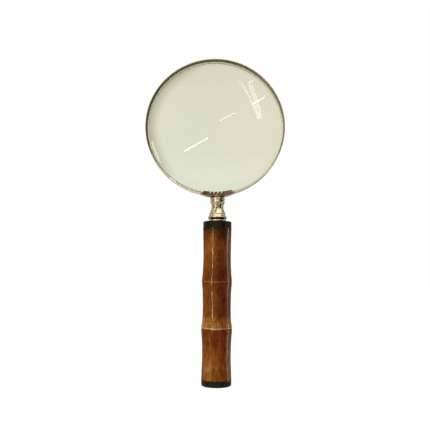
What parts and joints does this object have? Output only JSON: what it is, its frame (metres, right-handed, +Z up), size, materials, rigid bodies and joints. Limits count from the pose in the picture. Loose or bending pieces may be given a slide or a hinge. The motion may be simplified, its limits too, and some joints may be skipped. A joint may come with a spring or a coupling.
{
  "type": "magnifying glass",
  "caption": "Round hand magnifier: a large biconvex lens in a thin plated band on a turned stem that screws into a bamboo handle with black end caps.",
  "frame": {"origin": "centre of the flat butt of the handle, on the handle axis", "axes": "+Z up the handle to the lens; the lens faces -Y, its axis along Y; X across the lens"},
  "size_m": [0.104, 0.0224, 0.2409],
  "materials": {
    "glass": "polished crown glass, faint green-cream tint",
    "gasket": "soft pale translucent vinyl",
    "nickel": "polished warm nickel plate, worn to brass at edges",
    "spring_steel": "dark drawn spring wire",
    "copper": "tarnished red-brown brazed copper",
    "brass": "turned, unplated",
    "steel": "zinc-plated thread",
    "blackened": "blackened pin end",
    "horn": "polished black horn, rounded edges",
    "bamboo": "scorched and lacquered chestnut bamboo",
    "hardwood": "turned plug, raw"
  },
  "bodies": {
    "handle": {"bamboo_culm": "bamboo", "top_plug": "hardwood", "bottom_plug": "hardwood", "threaded_insert": "brass", "top_end_cap": "horn", "bottom_end_cap": "horn"},
    "collar": {"collar_washer": "nickel"},
    "head": {"lens": "glass", "lens_gasket": "gasket", "front_snap_wire": "spring_steel", "rear_snap_wire": "spring_steel", "rim_band": "nickel", "joint_strap": "copper", "saddle": "nickel", "tenon_pin": "blackened", "ferrule": "nickel", "threaded_stud": "steel"}
  },
  "joints": [
    {"name": "thread_travel", "type": "slide", "parent": "handle", "child": "collar", "axis": [0, 0, 1], "range_m": [0, 0.01001]},
    {"name": "head_turn", "type": "hinge", "parent": "collar", "child": "head", "pos_m": [0, 0, 0.119], "axis": [0, 0, 1], "range_deg": [0, 4500]}
  ],
  "couplings": [
    {"joint": "thread_travel", "follows": "head_turn", "m_per_rad": 0.00012732}
  ]
}
